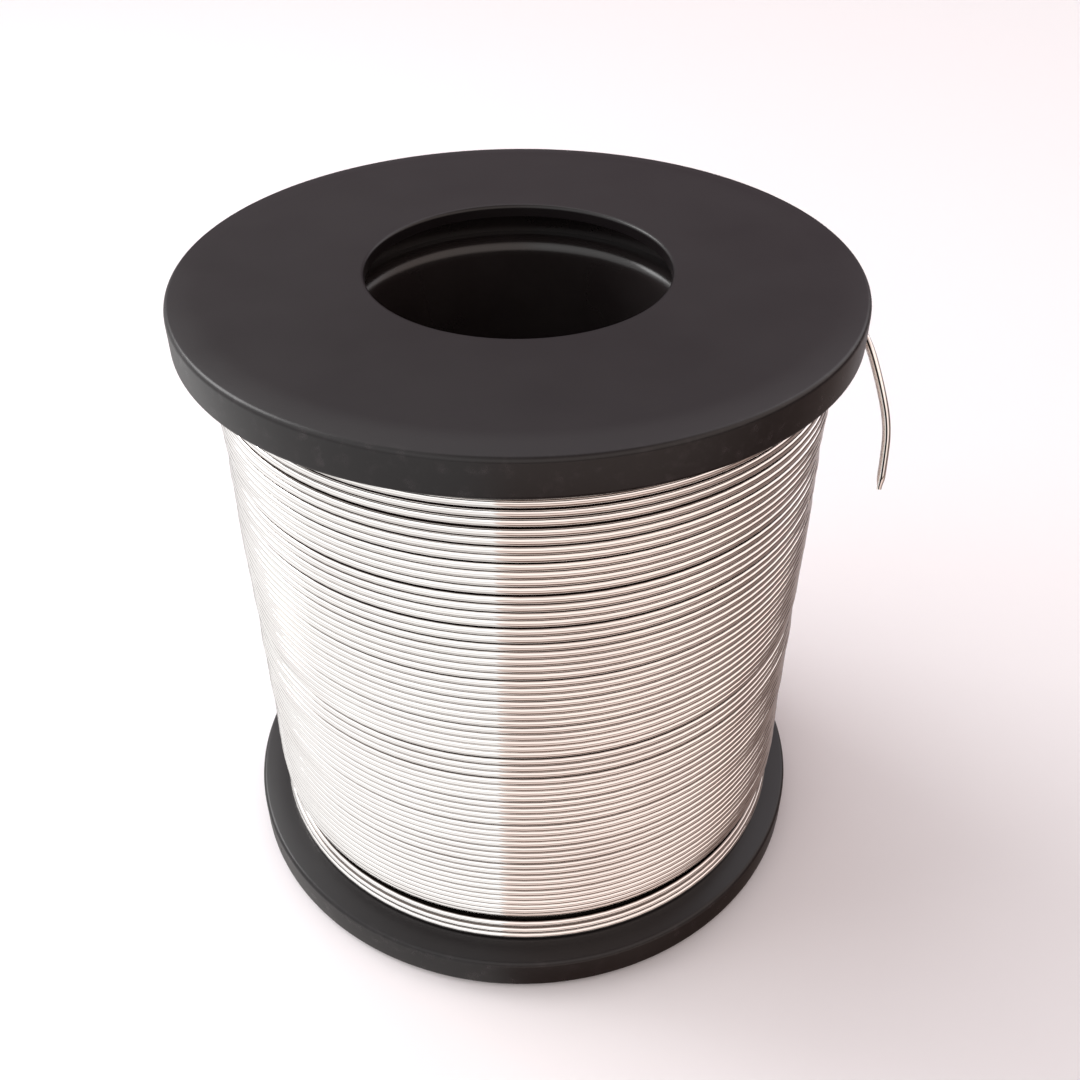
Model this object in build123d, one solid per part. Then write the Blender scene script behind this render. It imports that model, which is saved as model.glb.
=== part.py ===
from build123d import *

import math
import os

# A reel of flux-cored solder wire. Millimetres, +Z up the reel's axis, origin at the
# centre of the face it stands on.

# ---- Driving dimensions ----
REEL_HEIGHT = 66.0
FLANGE_RADIUS = 31.5
FLANGE_THICKNESS = 4.3
SPINDLE_RADIUS = 14.0
WIRE_DIAMETER = 0.8
FLUX_DIAMETER = 0.31

# ---- Flange ----
LIP_THICKNESS = 1.15
LIP_EDGE_RADIUS = 0.35
CROWN_WIDTH = 2.5
CROWN_DROP = 0.35
CROWN_BLEND_RADIUS = 12.0
RIM_EDGE_RADIUS = 0.5

# ---- Barrel ----
BARREL_OUTER_RADIUS = 19.0
BARREL_INNER_RADIUS = 15.0
SPIGOT_RADIUS = 18.4
SPIGOT_CHAMFER = 0.3
COUNTERBORE_RADIUS = 17.4
COUNTERBORE_DEPTH = 4.1
SHOULDER_RADIUS = 1.6

# ---- Wound wire ----
WINDING_RADIUS = 28.7
INNER_LAYERS_RADIUS = 27.5
WINDING_BOTTOM = FLANGE_THICKNESS
WINDING_TOP = REEL_HEIGHT - FLANGE_THICKNESS

# ---- Anchor slot in the barrel, and the wire's first end in it ----
ANCHOR_HEIGHT = 9.0
ANCHOR_ANGLE = 200.0
ANCHOR_SLOT_LENGTH = 3.2
ANCHOR_SLOT_HEIGHT = 1.1
START_BEND_RADIUS = 1.2
START_WALL_GAP = 0.05
START_SWEEP_ANGLE = 38.0

# ---- Free end: it leaves the top turn, passes under the top flange's edge and droops ----
FREE_END_ROUTE = [
    (22.9, 17.9, 60.8),
    (27.1, 12.5, 60.7),
    (30.9, 6.9, 60.1),
    (33.2, 1.3, 58.3),
    (34.6, -1.6, 54.6),
    (35.5, -3.3, 50.9),
    (35.4, -4.9, 47.8),
    (35.0, -6.1, 45.4),
]
CORNER_SHARE = 0.45
TIP_LENGTH = 1.3
TIP_RADIUS = 0.1


def turned(outline, rounds):
    """A solid of revolution about Z from (radius, height) points. rounds lists (point, radius)."""
    face = make_face(Polyline(*outline, close=True))
    for (radius, height), rounding in rounds:
        corner = face.vertices().sort_by_distance((radius, height, 0))[0]
        face = fillet(corner, rounding)
    return revolve(Plane.XZ * face, Axis.Z, 360)


def flange():
    """One flange with its outer face down on z = 0 and its socket facing up. Both faces are crowned."""
    outer_crown = (FLANGE_RADIUS - CROWN_WIDTH, 0)
    outer_edge = (FLANGE_RADIUS, CROWN_DROP)
    inner_edge = (FLANGE_RADIUS, FLANGE_THICKNESS - CROWN_DROP)
    inner_crown = (FLANGE_RADIUS - CROWN_WIDTH, FLANGE_THICKNESS)
    lip_edge = (SPINDLE_RADIUS, 0)
    outline = [
        lip_edge,
        outer_crown,
        outer_edge,
        inner_edge,
        inner_crown,
        (SPIGOT_RADIUS, FLANGE_THICKNESS),
        (SPIGOT_RADIUS, LIP_THICKNESS),
        (SPINDLE_RADIUS, LIP_THICKNESS),
    ]
    rounds = [
        (lip_edge, LIP_EDGE_RADIUS),
        (inner_edge, RIM_EDGE_RADIUS),
        (outer_edge, RIM_EDGE_RADIUS),
        (inner_crown, CROWN_BLEND_RADIUS),
        (outer_crown, CROWN_BLEND_RADIUS),
    ]
    return turned(outline, rounds)


def turned_over(piece):
    """The same piece the other way up, at the other end of the reel."""
    return Pos(0, 0, REEL_HEIGHT) * Rot(180, 0, 0) * piece


def barrel_end(sign, end):
    """Outline of one barrel end, from its spigot's shoulder in to its rounded inner shoulder."""
    lip_face = end + sign * LIP_THICKNESS
    flange_face = end + sign * FLANGE_THICKNESS
    floor = end + sign * COUNTERBORE_DEPTH
    return [
        (BARREL_OUTER_RADIUS, flange_face),
        (SPIGOT_RADIUS, flange_face),
        (SPIGOT_RADIUS, lip_face + sign * SPIGOT_CHAMFER),
        (SPIGOT_RADIUS - SPIGOT_CHAMFER, lip_face),
        (COUNTERBORE_RADIUS, lip_face),
        (COUNTERBORE_RADIUS, floor),
        (BARREL_INNER_RADIUS, floor),
    ]


def anchor_slot():
    """Cutter for the slot through the barrel's wall, its near end centred on the wire."""
    offset = (ANCHOR_SLOT_LENGTH - ANCHOR_SLOT_HEIGHT) / 2
    through_wall = Plane(
        origin=(BARREL_INNER_RADIUS - 1, 0, ANCHOR_HEIGHT), x_dir=(0, 1, 0), z_dir=(1, 0, 0)
    )
    slot = Pos(offset, 0) * SlotOverall(ANCHOR_SLOT_LENGTH, ANCHOR_SLOT_HEIGHT)
    depth = BARREL_OUTER_RADIUS - BARREL_INNER_RADIUS + 2
    return Rot(0, 0, ANCHOR_ANGLE) * extrude(through_wall * slot, depth)


def core_barrel():
    """The tube between the flanges, with a spigot at each end."""
    bottom = barrel_end(1, 0)
    top = barrel_end(-1, REEL_HEIGHT)
    rounds = [(bottom[-1], SHOULDER_RADIUS), (top[-1], SHOULDER_RADIUS)]
    return turned(bottom + top[::-1], rounds) - anchor_slot()


def ring(inner_radius, outer_radius):
    """Wound wire between two radii, over the whole width between the flanges."""
    section = Circle(outer_radius) - Circle(inner_radius)
    return Pos(0, 0, WINDING_BOTTOM) * extrude(section, WINDING_TOP - WINDING_BOTTOM)


def along(path, section):
    """A section swept square to the start of a path."""
    return sweep(Plane(origin=path @ 0, z_dir=path % 0) * section, path=path)


def solder_section():
    return Circle(WIRE_DIAMETER / 2) - Circle(FLUX_DIAMETER / 2)


def flux_section():
    return Circle(FLUX_DIAMETER / 2)


def free_end_path():
    """Straight runs joined by tangent arcs, each as large as its two runs allow."""
    points = [Vector(*point) for point in FREE_END_ROUTE]
    runs = [b - a for a, b in zip(points, points[1:])]
    radii = []
    for before, after in zip(runs, runs[1:]):
        half_turn = math.radians(before.get_angle(after)) / 2
        shorter = min(before.length, after.length)
        radii.append(CORNER_SHARE * shorter / math.tan(half_turn))
    print("free end bend radii, mm:", [round(radius, 1) for radius in radii])
    return FilletPolyline(*points, radius=radii)


def cut_tip(path):
    """The last stretch of the free end, drawn to a point by the cutters that closed it."""
    tip = Cone(
        WIRE_DIAMETER / 2, TIP_RADIUS, TIP_LENGTH, align=(Align.CENTER, Align.CENTER, Align.MIN)
    )
    return Plane(origin=path @ 1, z_dir=path % 1) * tip


def start_end_path():
    """In through the barrel's wall, round a tight bend, then along the barrel's inside."""
    wire_radius = WIRE_DIAMETER / 2
    lie_radius = BARREL_INNER_RADIUS - START_WALL_GAP - wire_radius
    reach = lie_radius + START_BEND_RADIUS
    bend_x = math.sqrt(reach**2 - START_BEND_RADIUS**2)
    bend_start = Vector(bend_x, 0, 0)
    bend_end = Vector(bend_x, START_BEND_RADIUS, 0) * (lie_radius / reach)
    bend_angle = math.degrees(math.atan2(START_BEND_RADIUS, bend_x))
    inward = Line((BARREL_OUTER_RADIUS, 0, 0), bend_start)
    bend = TangentArc(bend_start, bend_end, tangent=(-1, 0, 0))
    lie = CenterArc((0, 0, 0), lie_radius, bend_angle, START_SWEEP_ANGLE)
    path = Wire([inward.edge(), bend.edge(), lie.edge()])
    return Pos(0, 0, ANCHOR_HEIGHT) * Rot(0, 0, ANCHOR_ANGLE) * path


def check_tube(name, tube, section, path):
    """Prints a tube's volume beside its section times its length."""
    expected = section.area * path.length
    print(name, "length", round(path.length, 2), "volume", round(tube.volume, 3), "of", round(expected, 3))


def build():
    free_path = free_end_path()
    free_tube = along(free_path, solder_section())
    check_tube("free end", free_tube, solder_section(), free_path)
    start_path = start_end_path()
    start_tube = along(start_path, solder_section())
    check_tube("start end", start_tube, solder_section(), start_path)
    return {
        "bottom_flange": flange(),
        "top_flange": turned_over(flange()),
        "core_barrel": core_barrel(),
        "solder_inner_layers": ring(BARREL_OUTER_RADIUS, INNER_LAYERS_RADIUS),
        "solder_outer_layers": ring(INNER_LAYERS_RADIUS, WINDING_RADIUS),
        "solder_free_end": free_tube + cut_tip(free_path),
        "free_end_flux_core": along(free_path, flux_section()),
        "solder_start_end": start_tube,
        "start_end_flux_core": along(start_path, flux_section()),
    }


os.makedirs("parts", exist_ok=True)
for node, solid in build().items():
    export_step(solid, f"parts/{node}.step")
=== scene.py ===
"""Looks for the solder wire spool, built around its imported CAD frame. Metres, +Z up the reel's axis."""

import math

import bpy
import numpy as np
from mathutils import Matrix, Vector


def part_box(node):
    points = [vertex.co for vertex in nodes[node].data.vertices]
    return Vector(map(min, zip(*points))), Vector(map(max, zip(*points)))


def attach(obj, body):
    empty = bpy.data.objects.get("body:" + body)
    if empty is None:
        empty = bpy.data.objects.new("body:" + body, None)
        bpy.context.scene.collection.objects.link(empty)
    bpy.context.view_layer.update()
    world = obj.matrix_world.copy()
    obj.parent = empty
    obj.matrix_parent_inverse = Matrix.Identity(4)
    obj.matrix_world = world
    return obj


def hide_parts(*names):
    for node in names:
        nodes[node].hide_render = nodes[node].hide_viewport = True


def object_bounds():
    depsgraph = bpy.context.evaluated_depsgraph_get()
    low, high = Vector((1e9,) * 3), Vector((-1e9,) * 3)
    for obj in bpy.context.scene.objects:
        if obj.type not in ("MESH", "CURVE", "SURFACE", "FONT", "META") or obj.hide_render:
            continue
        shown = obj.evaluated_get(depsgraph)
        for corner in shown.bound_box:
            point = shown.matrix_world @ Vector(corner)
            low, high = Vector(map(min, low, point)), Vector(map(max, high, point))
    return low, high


MM = 0.001
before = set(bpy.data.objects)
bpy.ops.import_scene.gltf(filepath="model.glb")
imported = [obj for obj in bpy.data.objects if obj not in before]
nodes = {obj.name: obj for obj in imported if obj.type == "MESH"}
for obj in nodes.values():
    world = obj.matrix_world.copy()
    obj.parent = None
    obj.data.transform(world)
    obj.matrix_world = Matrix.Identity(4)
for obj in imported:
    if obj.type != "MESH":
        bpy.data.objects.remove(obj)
cad_low, cad_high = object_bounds()

# ---- Sizes, from the frame ----
bottom_low, bottom_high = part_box("bottom_flange")
top_low, top_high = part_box("top_flange")
outer_low, outer_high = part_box("solder_outer_layers")
FLANGE_RADIUS = (bottom_high.y - bottom_low.y) / 2
FLANGE_THICKNESS = bottom_high.z - bottom_low.z
WINDING_RADIUS = (outer_high.y - outer_low.y) / 2
WIRE_DIAMETER = 0.8 * MM
WIRE_RADIUS = WIRE_DIAMETER / 2

# ---- Flange: part.py's profile, more finely divided ----
SPINDLE_RADIUS = 14 * MM
SOCKET_RADIUS = 18.4 * MM
LIP_THICKNESS = 1.15 * MM
LIP_EDGE_RADIUS = 0.35 * MM
RIM_EDGE_RADIUS = 0.5 * MM
CROWN_WIDTH = 2.5 * MM
CROWN_DROP = 0.35 * MM
CROWN_BLEND_RADIUS = 12 * MM
FLANGE_SEGMENTS = 288
ARC_STEP = math.radians(9)
SHARP_CORNER = math.radians(35)
RUBBED_WIDTH = 0.9 * MM

# ---- Winding ----
ROWS = 68
WIND_LOW = bottom_high.z + WIRE_RADIUS + 0.01 * MM
WIND_HIGH = top_low.z - WIRE_RADIUS - 0.04 * MM
LAY_RADIUS = WINDING_RADIUS - WIRE_RADIUS + 0.2 * MM
LAYER_STEP = 0.72 * MM
OFF_CENTRE = np.array([0.4, 0.1, 0.0]) * MM
STEPS_PER_TURN = 104
SIDES = 14
# How far each ring's points are drawn together on its outside, where the wire shows.
OUTSIDE_CLOSER = 0.35
CUT_CORNER = math.radians(60)
EVEN_GAP = 0.01 * MM
GAP_DRIFT = 0.8
GROOVE_DRIFT = 0.3
# Turns beside a groove sink by this share of its extra width, over this many turns.
GROOVE_SINK = 0.5
SINK_TURNS = 1.3
SLOW_WAVER = 0.06 * MM
QUICK_WAVER = 0.02 * MM
UNDER_WAVER = 0.01 * MM
LEAVE_ANGLE = math.radians(38)
CROSSING_TURNS = 0.3
COMING_UP_TURNS = 0.12
# Grooves between rows: height, and how much wider than the usual gap, both in mm.
GROOVES = [
    (6.9, 0.8), (16.6, 0.05), (18.8, 0.07), (20.3, 0.04), (22.4, 0.07), (25.3, 0.07), (28.6, 0.07),
    (31.6, 0.13), (35.9, 0.1), (39.3, 0.05), (41.2, 0.08), (45.8, 0.08), (47.0, 0.16), (49.1, 0.05),
    (50.3, 0.12), (51.7, 0.05), (54.1, 0.13), (56.1, 0.08), (57.5, 0.1), (59.4, 0.14),
]

# ---- Free end: part.py's route to within half a millimetre, after the last turn's own end ----
FREE_END_ROUTE = [
    (0.0274, 0.0125, 0.0610),
    (0.0309, 0.0069, 0.0601),
    (0.0332, 0.0012, 0.0583),
    (0.0345, -0.0016, 0.0546),
    (0.0355, -0.0033, 0.0509),
    (0.0353, -0.0049, 0.0478),
    (0.0350, -0.0061, 0.0453),
]
FREE_END_SIDES = 40
CUT_LENGTH = 1.3 * MM
CUT_THINNER = 0.35
CUT_NARROWER = 0.72
# The streak's place and half width, and the distance at which it has faded, as shares of the way round.
STREAK_SHARE = 0.35
STREAK_HALF_WIDTH = 0.027
STREAK_FADED = 0.04
# Where the painted shade between touching neighbours starts and is full, the same way.
TOUCH_START = 0.15
TOUCH_FULL = 0.185

# ---- Studio: colours by azimuth in degrees from +X, and by elevation in degrees ----
EDGE = -98.7
WALLS = [
    (-180, (1.12, 1.12, 1.12)), (EDGE - 0.3, (1.12, 1.11, 1.1)), (EDGE, (1.0, 0.91, 0.86)),
    (-30, (1.0, 0.88, 0.82)), (-8, (0.95, 0.81, 0.75)), (8, (0.9, 0.77, 0.73)), (24, (1.0, 0.9, 0.87)),
    (36, (1.3, 1.25, 1.27)), (50, (1.45, 1.42, 1.48)), (62, (1.1, 1.02, 1.06)), (78, (0.86, 0.78, 0.82)),
    (100, (0.97, 0.94, 0.96)), (130, (1.12, 1.12, 1.12)), (180, (1.12, 1.12, 1.12)),
]
LEFT_SIDE = [(-180, (1, 1, 1)), (EDGE - 0.3, (1, 1, 1)), (EDGE, (0, 0, 0)), (50, (0, 0, 0)), (75, (1, 1, 1))]
RIGHT_SIDE = [(-50, (0, 0, 0)), (-5, (1, 1, 1)), (60, (1, 1, 1)), (80, (0, 0, 0))]
BACK_SIDE = [(40, (0, 0, 0)), (65, (1, 1, 1)), (115, (1, 1, 1)), (150, (0, 0, 0))]
WHITE_HEIGHTS = [
    (-90, (0.4, 0.38, 0.37)), (-60, (0.45, 0.43, 0.42)), (-46, (0.65, 0.63, 0.62)), (-34, (0.8, 0.79, 0.78)),
    (-22, (1, 1, 1)), (-8, (1, 1, 1)), (-3, (0.55, 0.53, 0.52)), (2, (0.5, 0.48, 0.48)),
    (6, (0.95, 0.95, 0.95)), (22, (1.0, 1.0, 1.0)), (32, (1.3, 1.3, 1.3)), (48, (1.3, 1.3, 1.3)),
    (58, (1.0, 1.0, 1.0)), (72, (0.85, 0.84, 0.83)), (90, (0.5, 0.48, 0.47)),
]
BACK_HEIGHTS = [
    (-90, (0.06, 0.05, 0.05)), (-58, (0.1, 0.09, 0.09)), (-45, (0.2, 0.18, 0.18)), (-30, (0.38, 0.36, 0.36)),
    (-8, (0.45, 0.42, 0.42)), (2, (0.15, 0.13, 0.14)), (17, (0.24, 0.21, 0.22)), (27, (0.4, 0.36, 0.37)),
    (36, (0.7, 0.66, 0.67)), (50, (1.4, 1.38, 1.38)), (62, (1.3, 1.28, 1.28)), (76, (0.5, 0.48, 0.47)),
    (90, (0.3, 0.28, 0.27)),
]
WARM_HEIGHTS = [
    (-90, (0.12, 0.08, 0.07)), (-55, (0.13, 0.09, 0.075)), (-44, (0.38, 0.3, 0.26)),
    (-34, (0.92, 0.84, 0.82)), (-8, (0.97, 0.88, 0.86)), (-4, (0.2, 0.17, 0.16)), (3, (0.16, 0.14, 0.13)),
    (9, (0.85, 0.81, 0.79)), (18, (1.2, 1.18, 1.18)), (52, (1.2, 1.18, 1.18)), (66, (0.55, 0.5, 0.49)),
    (90, (0.3, 0.26, 0.25)),
]
RIGHT_HEIGHTS = [
    (-90, (0.06, 0.045, 0.04)), (-60, (0.08, 0.06, 0.05)), (-45, (0.15, 0.12, 0.11)),
    (-30, (0.22, 0.18, 0.165)), (-16, (0.34, 0.285, 0.265)), (-9, (0.24, 0.2, 0.19)),
    (-5, (0.07, 0.055, 0.05)), (8, (0.07, 0.055, 0.055)), (13, (0.7, 0.66, 0.65)),
    (20, (1.32, 1.3, 1.3)), (54, (1.32, 1.3, 1.3)), (66, (0.4, 0.36, 0.35)), (90, (0.2, 0.17, 0.16)),
]
# A bright window on the left, left out of diffuse rays: azimuth, then height.
WINDOW_SIDE = [(128, (0, 0, 0)), (136, (1, 1, 1)), (162, (1, 1, 1)), (170, (0, 0, 0))]
WINDOW_HEIGHTS = [(24, (0, 0, 0)), (28, (6, 6, 6)), (46, (6, 6, 6)), (50, (0, 0, 0))]
# The share of the studio's light that diffuse rays see.
FLOOR_SHARE = 0.72
BACKDROP = (0.95, 0.88, 0.88)
FLOOR_HALF_WIDTH = 4.0
LIGHTS_AIM = Vector((0, 0, 0.02))
# Name, azimuth and elevation in degrees, distance and side in metres, watts.
SOFT_LIGHTS = [("near_left", 180, 20, 0.35, 0.25, 0.84), ("high_left", 140, 60, 0.9, 0.6, 1.6)]

# ---- Colours ----
DULL_METAL = (0.9, 0.87, 0.85)
BRIGHT_METAL = (0.96, 0.94, 0.92)
SHADED_METAL = (0.22, 0.2, 0.19)
# Multipliers on the wire's metal: unchanged, and painted shade where neighbouring turns touch.
UNDARKENED = (1.0, 1.0, 1.0)
CREVICE_SHADE = (0.2, 0.175, 0.165)
# Painted dark reflection along one side of the loose end.
PAINTED_DARK_REFLECTION = (0.02, 0.017, 0.016)
FLANGE_DARK = (0.0058, 0.0043, 0.0048)
FLANGE_LIGHT = (0.009, 0.0071, 0.0077)
# Painted light: the barrel's black plastic is set lighter than the flanges' to give the light seen in its
# bore.
BARREL_DARK = (0.014, 0.011, 0.0112)
BARREL_LIGHT = (0.022, 0.018, 0.018)


# ---- Camera ----
CAMERA_LENS = 39.49
CAMERA_PLACE = (1.94 * MM, -100.7 * MM, 111.8 * MM)
CAMERA_LOOKS_DOWN = math.radians(37.55)


def make_camera():
    data = bpy.data.cameras.new("camera")
    data.lens = CAMERA_LENS
    data.sensor_width = 36.0
    data.clip_start = 0.005
    camera = bpy.data.objects.new("camera", data)
    camera.location = CAMERA_PLACE
    camera.rotation_euler = (math.radians(90) - CAMERA_LOOKS_DOWN, 0, 0)
    bpy.context.scene.collection.objects.link(camera)
    bpy.context.scene.camera = camera


# ---- Node helpers ----
def new_material(name):
    material = bpy.data.materials.new(name)
    material.use_nodes = True
    tree = material.node_tree
    shader = next(n for n in tree.nodes if n.type == "BSDF_PRINCIPLED")
    return material, tree, shader


def node(tree, kind, **settings):
    made = tree.nodes.new(kind)
    for key, value in settings.items():
        setattr(made, key, value)
    return made


def feed(tree, socket, value):
    """Sets a socket to a number, colour or vector, or links it to another socket."""
    if isinstance(value, bpy.types.NodeSocket):
        tree.links.new(value, socket)
    elif isinstance(value, tuple) and socket.type == "RGBA":
        socket.default_value = (*value, 1)
    else:
        socket.default_value = value


def maths(tree, operation, *values):
    made = node(tree, "ShaderNodeMath", operation=operation)
    for socket, value in zip(made.inputs, values):
        feed(tree, socket, value)
    return made.outputs[0]


def noise(tree, vector, scale, detail=3.0, roughness=0.5):
    made = node(tree, "ShaderNodeTexNoise")
    for name, value in (("Vector", vector), ("Scale", scale), ("Detail", detail), ("Roughness", roughness)):
        feed(tree, made.inputs[name], value)
    return made.outputs["Fac"]


def remap(tree, value, low, high, from_low=0.3, from_high=0.7):
    made = node(tree, "ShaderNodeMapRange")
    limits = {"Value": value, "From Min": from_low, "From Max": from_high, "To Min": low, "To Max": high}
    for name, limit in limits.items():
        feed(tree, made.inputs[name], limit)
    return made.outputs["Result"]


def bump(tree, shader, height, distance, strength, under=None):
    made = node(tree, "ShaderNodeBump")
    made.inputs["Distance"].default_value = distance
    made.inputs["Strength"].default_value = strength
    feed(tree, made.inputs["Height"], height)
    if under is not None:
        feed(tree, made.inputs["Normal"], under)
    tree.links.new(made.outputs["Normal"], shader.inputs["Normal"])
    return made.outputs["Normal"]


def mixed(tree, factor, first, second, blend="MIX"):
    made = node(tree, "ShaderNodeMix", data_type="RGBA", blend_type=blend)
    for socket, value in ((made.inputs[0], factor), (made.inputs[6], first), (made.inputs[7], second)):
        feed(tree, socket, value)
    return made.outputs[2]


def ramp(tree, factor, stops):
    made = node(tree, "ShaderNodeValToRGB")
    spots = made.color_ramp.elements
    for index, (position, colour) in enumerate(stops):
        spot = spots[index] if index < 2 else spots.new(position)
        spot.position = position
        spot.color = (*colour, 1)
    tree.links.new(factor, made.inputs["Fac"])
    return made.outputs["Color"]


def parts_of(tree, vector):
    made = node(tree, "ShaderNodeSeparateXYZ")
    tree.links.new(vector, made.inputs[0])
    return made.outputs


# ---- Materials ----
def moulded_plastic(name, dark, light, smooth, rough, ior, grain):
    """Satin black moulding: a fine grain and handling marks, with a rim rubbed paler and smoother."""
    material, tree, shader = new_material(name)
    place = node(tree, "ShaderNodeTexCoord").outputs["Object"]
    handling = noise(tree, place, 90, 5, 0.6)
    spot = parts_of(tree, place)
    across = maths(tree, "MULTIPLY", spot["X"], spot["X"])
    out = maths(tree, "SQRT", maths(tree, "MULTIPLY_ADD", spot["Y"], spot["Y"], across))
    rim = remap(tree, out, 0, 1, FLANGE_RADIUS - RUBBED_WIDTH, FLANGE_RADIUS)
    scuffs = remap(tree, noise(tree, place, 700, 4, 0.65), 0, 1, 0.52, 0.7)
    wear = maths(tree, "MULTIPLY", rim, scuffs)
    colour = mixed(tree, remap(tree, handling, 0, 1), dark, light)
    worn = tuple(2 * part for part in light)
    gloss = remap(tree, handling, smooth, rough)
    feed(tree, shader.inputs["Base Color"], mixed(tree, wear, colour, worn))
    feed(tree, shader.inputs["Roughness"], maths(tree, "MULTIPLY_ADD", wear, -0.06, gloss))
    soft = bump(tree, shader, noise(tree, place, 450, 2), 12e-6, 0.3)
    bump(tree, shader, noise(tree, place, 9000, 2), grain, 0.5, soft)
    shader.inputs["IOR"].default_value = ior
    return material


def drawn_solder(name, dull, bright, smooth, rough, shade_of):
    """Bright drawn wire, with fine lines along its length and duller stretches.

    It reads a UV map of metres along the wire and share of the way round it, with 0 on the outside.
    shade_of(tree, share) gives the colour that darkens the metal there."""
    material, tree, shader = new_material(name)
    wire = node(tree, "ShaderNodeUVMap", uv_map="wire").outputs["UV"]
    stretch = node(tree, "ShaderNodeMapping")
    stretch.inputs["Scale"].default_value = (120, 40, 1)
    tree.links.new(wire, stretch.inputs["Vector"])
    lines = noise(tree, stretch.outputs["Vector"], 1.0)
    place = node(tree, "ShaderNodeTexCoord").outputs["Object"]
    colour = mixed(tree, remap(tree, noise(tree, place, 130), 0, 1), dull, bright)
    shade = shade_of(tree, parts_of(tree, wire)["Y"])
    feed(tree, shader.inputs["Base Color"], mixed(tree, 1.0, colour, shade, "MULTIPLY"))
    feed(tree, shader.inputs["Roughness"], remap(tree, lines, smooth, rough))
    bump(tree, shader, lines, 2e-6, 0.4)
    shader.inputs["Metallic"].default_value = 1.0
    return material


def painted_shade_sides(tree, share):
    """Unchanged on the outside, with painted shade where neighbouring turns touch."""
    touching = remap(tree, maths(tree, "ABSOLUTE", share), 0, 1, TOUCH_START, TOUCH_FULL)
    return mixed(tree, touching, UNDARKENED, CREVICE_SHADE)


def dark_streak(tree, share):
    """A narrow painted dark reflection along one side of the loose end."""
    away = maths(tree, "ABSOLUTE", maths(tree, "SUBTRACT", share, STREAK_SHARE))
    clear = remap(tree, away, 0, 1, STREAK_HALF_WIDTH, STREAK_FADED)
    return mixed(tree, clear, PAINTED_DARK_REFLECTION, UNDARKENED)


def plain_solder(name, dull, bright, smooth, rough):
    """The same metal without lines along the wire: fine scratches and duller patches."""
    material, tree, shader = new_material(name)
    place = node(tree, "ShaderNodeTexCoord").outputs["Object"]
    scratches = noise(tree, place, 4000)
    patches = remap(tree, noise(tree, place, 300), 0, 1)
    feed(tree, shader.inputs["Base Color"], mixed(tree, patches, dull, bright))
    feed(tree, shader.inputs["Roughness"], remap(tree, scratches, smooth, rough))
    bump(tree, shader, scratches, 2e-6, 0.4)
    shader.inputs["Metallic"].default_value = 1.0
    return material


def shaded_layers(name):
    """What shows deep in a groove: turns painted dark for the shade there, ridged at the wire's own width.
    """
    material, tree, shader = new_material(name)
    place = node(tree, "ShaderNodeTexCoord").outputs["Object"]
    half_turns = maths(tree, "MULTIPLY", parts_of(tree, place)["Z"], math.pi / WIRE_DIAMETER)
    ridges = maths(tree, "ABSOLUTE", maths(tree, "SINE", half_turns))
    shade_patches = noise(tree, place, 500)
    feed(tree, shader.inputs["Base Color"], mixed(tree, shade_patches, (0.03, 0.025, 0.022), (0.09, 0.08, 0.075)))
    feed(tree, shader.inputs["Roughness"], remap(tree, shade_patches, 0.4, 0.55))
    bump(tree, shader, ridges, WIRE_RADIUS, 0.8)
    shader.inputs["Metallic"].default_value = 1.0
    return material


def rosin(name):
    """Flux: amber, glassy, a little uneven."""
    material, tree, shader = new_material(name)
    place = node(tree, "ShaderNodeTexCoord").outputs["Object"]
    grain = noise(tree, place, 4000, 2)
    feed(tree, shader.inputs["Base Color"], mixed(tree, grain, (0.42, 0.2, 0.05), (0.66, 0.4, 0.13)))
    feed(tree, shader.inputs["Roughness"], remap(tree, grain, 0.22, 0.4))
    bump(tree, shader, grain, 5e-6, 0.4)
    return material


def pale_floor(name):
    material, tree, shader = new_material(name)
    place = node(tree, "ShaderNodeTexCoord").outputs["Object"]
    colour = mixed(tree, noise(tree, place, 6, 2), (0.905, 0.87, 0.893), (0.915, 0.88, 0.903))
    feed(tree, shader.inputs["Base Color"], colour)
    shader.inputs["Roughness"].default_value = 0.6
    shader.inputs["Specular IOR Level"].default_value = 0.2
    return material


def paint(piece, material):
    piece.data.materials.clear()
    piece.data.materials.append(material)


# ---- Wire meshes ----
def smooth_step(value):
    value = np.clip(value, 0, 1)
    return value * value * (3 - 2 * value)


def unit(vectors):
    return vectors / np.linalg.norm(vectors, axis=-1, keepdims=True)


def tube(name, centres, outward, sides, girth, bunched):
    """A closed tube mesh. outward is the unit vector, square to the wire, that each ring starts from.

    girth scales each ring, first along outward and then square to it. bunched draws a ring's points
    together on its outward side."""
    across = unit(np.cross(np.gradient(centres, axis=0), outward))
    even = np.linspace(-np.pi, np.pi, sides, endpoint=False)
    around = even - bunched * np.sin(even)
    deep, wide = girth
    spokes = np.cos(around)[None, :, None] * (outward * deep[:, None])[:, None, :]
    spokes = spokes + np.sin(around)[None, :, None] * (across * wide[:, None])[:, None, :]
    points = (centres[:, None, :] + WIRE_RADIUS * spokes).reshape(-1, 3)
    rings = len(centres)
    first = np.arange(rings - 1)[:, None] * sides
    side = np.arange(sides)[None, :]
    after = (side + 1) % sides
    quads = np.stack([first + side, first + after, first + sides + after, first + sides + side], -1)
    faces = quads.reshape(-1, 4).tolist()
    faces.append(list(range(sides))[::-1])
    faces.append([(rings - 1) * sides + s for s in range(sides)])
    mesh = bpy.data.meshes.new(name)
    mesh.from_pydata(points.tolist(), [], faces)
    map_wire(mesh, centres, around)
    mesh.shade_smooth()
    mesh.set_sharp_from_angle(angle=CUT_CORNER)
    piece = bpy.data.objects.new(name, mesh)
    bpy.context.scene.collection.objects.link(piece)
    return piece


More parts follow.
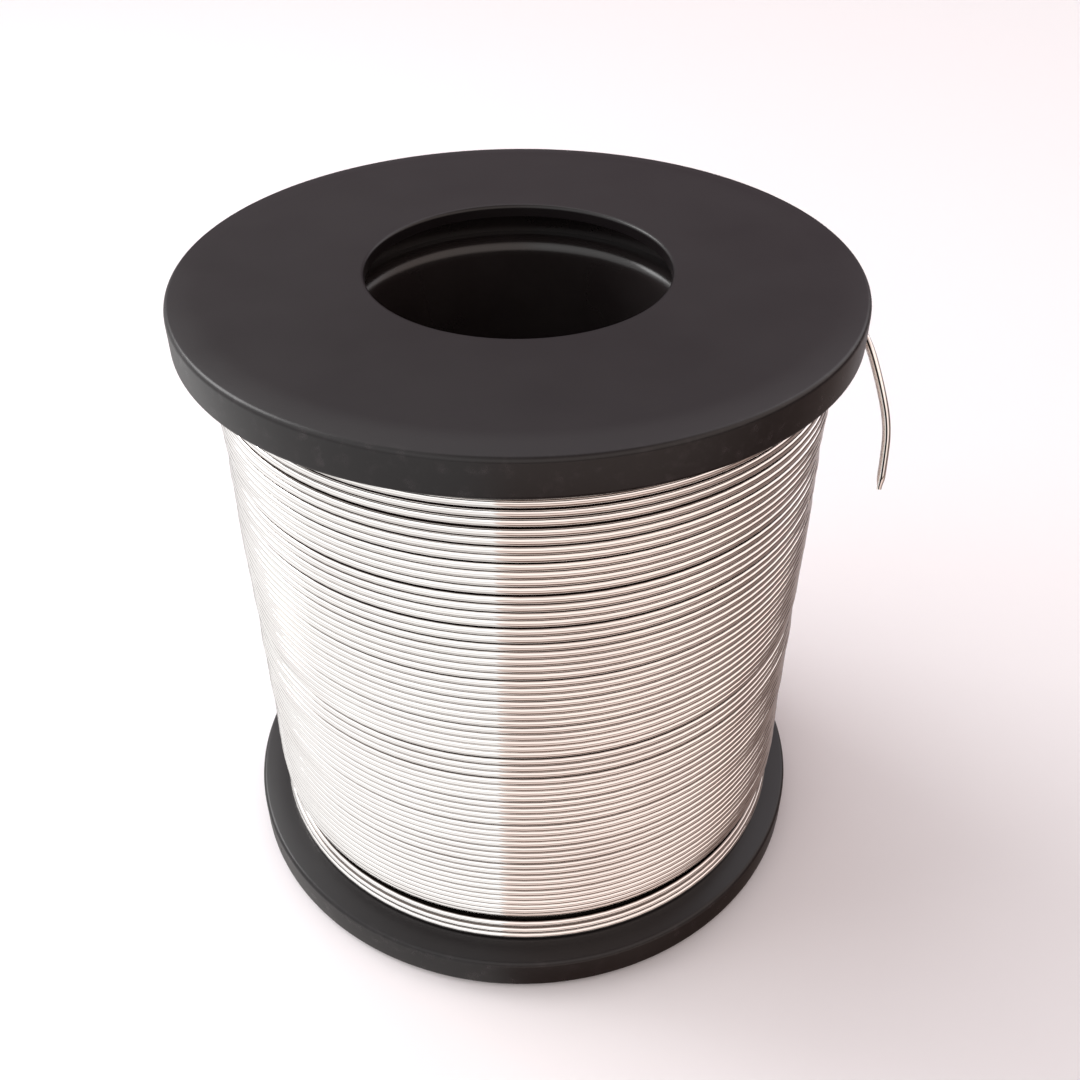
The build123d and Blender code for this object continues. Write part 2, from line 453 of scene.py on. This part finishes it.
def map_wire(mesh, centres, around):
    """UVs: metres along the wire, and the share of the way round it, from -0.5 to 0.5 with 0 outward."""
    steps = np.linalg.norm(np.diff(centres, axis=0), axis=1)
    lengths = np.append(0, np.cumsum(steps))
    sides = len(around)
    start, end = np.repeat(lengths[:-1], sides), np.repeat(lengths[1:], sides)
    spot = np.append(around, np.pi) / (2 * np.pi)
    here, there = np.tile(spot[:-1], len(steps)), np.tile(spot[1:], len(steps))
    along = np.stack([start, start, end, end], -1)
    round_it = np.stack([here, there, there, here], -1)
    corners = np.stack([along, round_it], -1)
    flat = np.zeros(len(mesh.loops) * 2, np.float32)
    flat[: corners.size] = corners.ravel()
    mesh.uv_layers.new(name="wire").data.foreach_set("uv", flat)


def laid_rows():
    """Heights of the outer layer's rows at each step round the reel, and the grooves' extra widths."""
    draw = np.random.default_rng(3)
    extra = np.zeros(ROWS - 1)
    for groove, width in GROOVES:
        middles = WIND_LOW + np.cumsum(WIRE_DIAMETER + EVEN_GAP + extra) - WIRE_RADIUS
        extra[np.argmin(np.abs(middles - groove * MM))] = width * MM
    turn = np.arange(STEPS_PER_TURN + 1) / STEPS_PER_TURN * 2 * math.pi
    phase = draw.uniform(0, 2 * math.pi, (ROWS - 1, 1))
    gaps = EVEN_GAP * (1 + GAP_DRIFT * np.sin(2 * turn + phase))
    gaps = gaps + extra[:, None] * (1 + GROOVE_DRIFT * np.sin(turn + phase))
    gaps = gaps * (WIND_HIGH - WIND_LOW - (ROWS - 1) * WIRE_DIAMETER) / gaps.sum(axis=0)
    climbs = np.cumsum(WIRE_DIAMETER + gaps, axis=0)
    rows = WIND_LOW + np.concatenate([np.zeros((1, len(turn))), climbs])
    return rows, extra


def waver(count, per_turn, size, draw):
    """A random drift along the wire, with so many knots a turn."""
    knots = draw.normal(0, size, int(count[-1] * per_turn) + 3)
    return np.interp(count * per_turn, np.arange(len(knots)), knots)


def wound(name, rows, turns, radius_of, end_angle):
    """Wire laid along rows, each turn level until it crosses to the next row.

    It runs clockwise, as seen from above, to end_angle. radius_of(count, crossing) gives its distance from
    the winding's own axis."""
    steps = np.arange(int(turns * STEPS_PER_TURN) + 1)
    row, step = np.divmod(steps, STEPS_PER_TURN)
    count = steps / STEPS_PER_TURN
    last = len(rows) - 1
    here, after = rows[np.minimum(row, last), step], rows[np.minimum(row + 1, last), step]
    crossing = smooth_step((count - row - 1 + CROSSING_TURNS) / CROSSING_TURNS)
    angle = end_angle + (count[-1] - count) * 2 * math.pi
    outward = np.stack([np.cos(angle), np.sin(angle), np.zeros_like(angle)], -1)
    centres = OFF_CENTRE + outward * radius_of(count, crossing)[:, None]
    centres[:, 2] = here + (after - here) * crossing
    full = np.ones(len(count))
    return tube(name, centres, outward, SIDES, (full, full), OUTSIDE_CLOSER), centres


# ---- Pieces ----
def rounded(corners):
    """An outline's points from (radius, height, rounding) corners, each rounding an arc."""
    points = []
    for index, (radius, height, rounding) in enumerate(corners):
        corner = np.array([radius, height])
        before = unit(np.array(corners[index - 1][:2]) - corner)
        after = unit(np.array(corners[(index + 1) % len(corners)][:2]) - corner)
        if rounding == 0:
            points.append(corner)
            continue
        opening = math.acos(np.clip(np.dot(before, after), -1, 1))
        centre = corner + unit(before + after) * rounding / math.sin(opening / 2)
        start = corner + before * rounding / math.tan(opening / 2) - centre
        sweep = math.pi - opening
        turn = math.copysign(sweep, before[1] * after[0] - before[0] * after[1])
        pieces = max(3, math.ceil(sweep / ARC_STEP))
        for share in np.linspace(0, 1, pieces + 1):
            across, along = math.cos(turn * share), math.sin(turn * share)
            spoke = [start[0] * across - start[1] * along, start[0] * along + start[1] * across]
            points.append(centre + spoke)
    return np.array(points)


def turned(name, outline):
    """A solid of revolution about Z, its outline given anticlockwise as (radius, height) points."""
    angle = np.arange(FLANGE_SEGMENTS) * 2 * math.pi / FLANGE_SEGMENTS
    radius, height = outline[:, 0], outline[:, 1]
    east, north = np.outer(np.cos(angle), radius), np.outer(np.sin(angle), radius)
    points = np.stack([east, north, np.tile(height, (len(angle), 1))], -1)
    count = len(outline)
    first = np.arange(FLANGE_SEGMENTS)[:, None] * count
    beyond = (first + count) % (FLANGE_SEGMENTS * count)
    spot = np.arange(count)[None, :]
    after = (spot + 1) % count
    quads = np.stack([first + spot, beyond + spot, beyond + after, first + after], -1).reshape(-1, 4)
    mesh = bpy.data.meshes.new(name)
    mesh.from_pydata(points.reshape(-1, 3).tolist(), [], quads.tolist())
    mesh.shade_smooth()
    mesh.set_sharp_from_angle(angle=SHARP_CORNER)
    piece = bpy.data.objects.new(name, mesh)
    bpy.context.scene.collection.objects.link(piece)
    return piece


def flange(name, outer_face, inward):
    """One flange. inward is 1 where its inner face looks up, and -1 where it looks down."""
    flat_radius = FLANGE_RADIUS - CROWN_WIDTH
    corners = [
        (SPINDLE_RADIUS, 0, LIP_EDGE_RADIUS),
        (flat_radius, 0, CROWN_BLEND_RADIUS),
        (FLANGE_RADIUS, CROWN_DROP, RIM_EDGE_RADIUS),
        (FLANGE_RADIUS, FLANGE_THICKNESS - CROWN_DROP, RIM_EDGE_RADIUS),
        (flat_radius, FLANGE_THICKNESS, CROWN_BLEND_RADIUS),
        (SOCKET_RADIUS, FLANGE_THICKNESS, 0),
        (SOCKET_RADIUS, LIP_THICKNESS, 0),
        (SPINDLE_RADIUS, LIP_THICKNESS, 0),
    ]
    placed = [(radius, outer_face + inward * height, rounding) for radius, height, rounding in corners]
    return turned(name, rounded(placed if inward > 0 else placed[::-1]))


def outer_winding(rows, extra):
    """The outermost layer. It comes up from the one beneath, and its end rides out over the turn before."""
    draw = np.random.default_rng(4)
    turns = ROWS + 2 / STEPS_PER_TURN

    def radius_of(count, crossing):
        radius = LAY_RADIUS + waver(count, 0.25, SLOW_WAVER, draw) + waver(count, 1, QUICK_WAVER, draw)
        for row in np.flatnonzero(extra):
            away = (count - row - 1) / SINK_TURNS
            radius = radius - GROOVE_SINK * extra[row] * np.exp(-away * away)
        radius = radius - LAYER_STEP * (1 - smooth_step(count / COMING_UP_TURNS))
        riding = np.where(count < ROWS - 1, 0, np.where(count < ROWS, crossing, 1))
        apart = (1 - riding) * WIRE_DIAMETER
        ride = np.sqrt(WIRE_DIAMETER**2 - apart**2)
        return radius + (LAY_RADIUS - radius) * smooth_step(riding * 3) + ride

    return wound("wound_wire_outer", rows, turns, radius_of, LEAVE_ANGLE)


def under_winding(rows, extra):
    """The layer beneath, wound back down, each turn between two outer rows but none in the widest gap."""
    between = ((rows[1:] + rows[:-1]) / 2)[extra < WIRE_RADIUS][::-1]
    draw = np.random.default_rng(6)

    def radius_of(count, crossing):
        return LAY_RADIUS - LAYER_STEP + waver(count, 1, UNDER_WAVER, draw)

    return wound("wound_wire_under", between, len(between), radius_of, LEAVE_ANGLE)


def route_line(points):
    """Points along the NURBS line that has these control points."""
    curve = bpy.data.curves.new("free_end_route", "CURVE")
    curve.dimensions = "3D"
    curve.resolution_u = 16
    spline = curve.splines.new("NURBS")
    spline.points.add(len(points) - 1)
    for spot, place in zip(spline.points, points):
        spot.co = (*place, 1)
    spline.order_u = 3
    spline.use_endpoint_u = True
    holder = bpy.data.objects.new("free_end_route", curve)
    bpy.context.scene.collection.objects.link(holder)
    graph = bpy.context.evaluated_depsgraph_get()
    mesh = bpy.data.meshes.new_from_object(holder.evaluated_get(graph))
    line = np.array([vertex.co for vertex in mesh.vertices])
    bpy.data.objects.remove(holder)
    bpy.data.curves.remove(curve)
    bpy.data.meshes.remove(mesh)
    return line


def carried(line, start):
    """start, carried along the line without twisting, square to it at each point."""
    frames = []
    for direction in unit(np.gradient(line, axis=0)):
        start = start - direction * np.dot(start, direction)
        frames.append(start)
    return unit(np.array(frames))


def free_end(start):
    """The loose end, carrying on from the last turn and pinched narrower where it was cut."""
    line = route_line([tuple(start)] + FREE_END_ROUTE)
    outward = np.array([math.cos(LEAVE_ANGLE), math.sin(LEAVE_ANGLE), 0.0])
    steps = np.linalg.norm(np.diff(line, axis=0), axis=1)
    left = np.append(np.cumsum(steps[::-1])[::-1], 0)
    pinch = 1 - smooth_step(left / CUT_LENGTH)
    girth = (1 - CUT_THINNER * pinch, 1 - CUT_NARROWER * pinch)
    return tube("solder_wire_free_end", line, carried(line, outward), FREE_END_SIDES, girth, 0.0), line


# ---- Stage ----
def make_floor():
    """A pale sheet. Shiny surfaces mirror the studio's own lower half instead of it."""
    mesh = bpy.data.meshes.new("floor")
    half = FLOOR_HALF_WIDTH
    corners = [(-half, -half, 0), (half, -half, 0), (half, half, 0), (-half, half, 0)]
    mesh.from_pydata(corners, [], [(0, 1, 2, 3)])
    floor = bpy.data.objects.new("floor", mesh)
    floor.location.z = cad_low.z
    floor.visible_glossy = False
    bpy.context.scene.collection.objects.link(floor)
    paint(floor, pale_floor("floor_pale"))


def soft_light(name, azimuth, up, distance, size, power):
    turn, lift = math.radians(azimuth), math.radians(up)
    flat = distance * math.cos(lift)
    place = Vector((flat * math.cos(turn), flat * math.sin(turn), distance * math.sin(lift)))
    data = bpy.data.lights.new(name, "AREA")
    data.size = size
    data.energy = power
    light = bpy.data.objects.new(name, data)
    light.location = place
    light.rotation_euler = (LIGHTS_AIM - place).to_track_quat("-Z", "Y").to_euler()
    light.visible_camera = False
    light.visible_glossy = False
    bpy.context.scene.collection.objects.link(light)


def turn_stops(stops):
    """Stops given by azimuth as places on a ramp from 0 at -180 degrees to 1 at 180."""
    return [(azimuth / 360 + 0.5, colour) for azimuth, colour in stops]


def height_stops(stops):
    """Stops given by elevation as places on a ramp over the direction's height, 0 at -90 and 1 at 90."""
    return [((math.sin(math.radians(up)) + 1) / 2, colour) for up, colour in stops]


def make_world():
    """A studio: white walls and a window on the left, warm walls on the right, a dark one behind."""
    world = bpy.data.worlds.new("studio")
    bpy.context.scene.world = world
    world.use_nodes = True
    tree = world.node_tree
    background = next(n for n in tree.nodes if n.type == "BACKGROUND")
    direction = parts_of(tree, node(tree, "ShaderNodeTexCoord").outputs["Generated"])
    azimuth = maths(tree, "ARCTAN2", direction["Y"], direction["X"])
    turn = maths(tree, "MULTIPLY_ADD", azimuth, 0.5 / math.pi, 0.5)
    height = maths(tree, "MULTIPLY_ADD", direction["Z"], 0.5, 0.5)
    warm = ramp(tree, height, height_stops(WARM_HEIGHTS))
    white = ramp(tree, height, height_stops(WHITE_HEIGHTS))
    behind = ramp(tree, height, height_stops(BACK_HEIGHTS))
    right = ramp(tree, height, height_stops(RIGHT_HEIGHTS))
    heights = mixed(tree, ramp(tree, turn, turn_stops(RIGHT_SIDE)), warm, right)
    heights = mixed(tree, ramp(tree, turn, turn_stops(LEFT_SIDE)), heights, white)
    heights = mixed(tree, ramp(tree, turn, turn_stops(BACK_SIDE)), heights, behind)
    studio = mixed(tree, 1.0, ramp(tree, turn, turn_stops(WALLS)), heights, "MULTIPLY")
    window = ramp(tree, height, height_stops(WINDOW_HEIGHTS))
    window = mixed(tree, 1.0, ramp(tree, turn, turn_stops(WINDOW_SIDE)), window, "MULTIPLY")
    lit = mixed(tree, 1.0, studio, (FLOOR_SHARE, FLOOR_SHARE, FLOOR_SHARE), "MULTIPLY")
    ray = node(tree, "ShaderNodeLightPath").outputs
    light = mixed(tree, ray["Is Diffuse Ray"], mixed(tree, 1.0, studio, window, "ADD"), lit)
    feed(tree, background.inputs["Color"], mixed(tree, ray["Is Camera Ray"], light, BACKDROP))


def light_stage():
    make_world()
    for settings in SOFT_LIGHTS:
        soft_light(*settings)
    bpy.context.scene.view_settings.view_transform = "Standard"


# ---- Build ----
make_camera()

rows, extra_gaps = laid_rows()
outer, outer_line = outer_winding(rows, extra_gaps)
tail, tail_line = free_end(outer_line[-1])
under, _ = under_winding(rows, extra_gaps)
bottom_flange = flange("flange_moulding_bottom", bottom_low.z, 1)
top_flange = flange("flange_moulding_top", top_high.z, -1)

solder = drawn_solder("drawn_solder", DULL_METAL, BRIGHT_METAL, 0.012, 0.03, painted_shade_sides)
under_solder = drawn_solder("drawn_solder_under", SHADED_METAL, SHADED_METAL, 0.1, 0.2, painted_shade_sides)
end_solder = drawn_solder("drawn_solder_free_end", DULL_METAL, BRIGHT_METAL, 0.03, 0.07, dark_streak)
bent_solder = plain_solder("bent_solder", DULL_METAL, BRIGHT_METAL, 0.08, 0.16)
flange_plastic = moulded_plastic("flange_plastic", FLANGE_DARK, FLANGE_LIGHT, 0.28, 0.35, 1.44, 2e-6)
barrel_plastic = moulded_plastic("barrel_plastic", BARREL_DARK, BARREL_LIGHT, 0.2, 0.26, 1.5, 1e-6)

for piece, material in ((outer, solder), (under, under_solder), (tail, end_solder)):
    paint(piece, material)
    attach(piece, "root")
for piece in (bottom_flange, top_flange):
    paint(piece, flange_plastic)
    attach(piece, "root")
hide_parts("solder_outer_layers")
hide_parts("solder_free_end", "free_end_flux_core")
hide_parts("bottom_flange")
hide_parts("top_flange")

paint(nodes["core_barrel"], barrel_plastic)
paint(nodes["solder_inner_layers"], shaded_layers("shaded_solder"))
paint(nodes["solder_start_end"], bent_solder)
paint(nodes["start_end_flux_core"], rosin("rosin_flux"))

make_floor()
light_stage()
